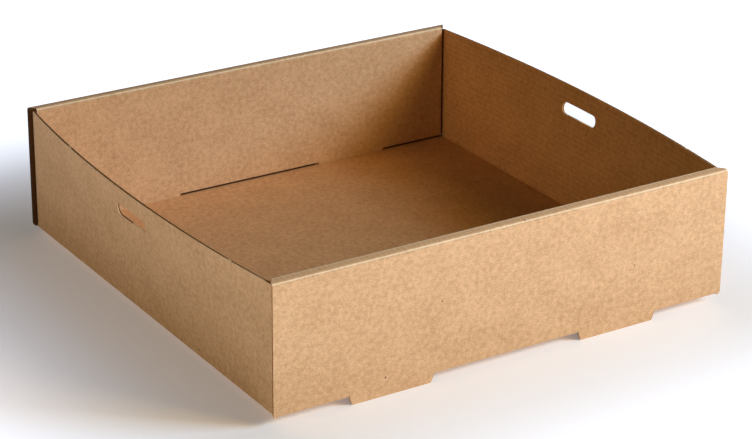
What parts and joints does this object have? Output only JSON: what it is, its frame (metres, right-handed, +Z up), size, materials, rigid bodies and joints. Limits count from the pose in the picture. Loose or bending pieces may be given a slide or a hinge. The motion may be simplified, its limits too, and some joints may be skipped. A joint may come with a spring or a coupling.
{
  "type": "cardboard tray box",
  "caption": "Shallow open-top tray box folded from a sheet of kraft corrugated board, with rolled-over end walls, locking tabs, feet and bowed side walls with finger slots.",
  "frame": {"origin": "middle of the footprint, level with the bottoms of the feet", "axes": "+Z up, +X along the front wall towards the right side wall, the front wall faces -Y"},
  "size_m": [0.3316, 0.31, 0.0871],
  "materials": {
    "kraft_board": "uncoated brown kraft, matt"
  },
  "bodies": {
    "root": {"folded_tray": "kraft_board"}
  },
  "joints": []
}
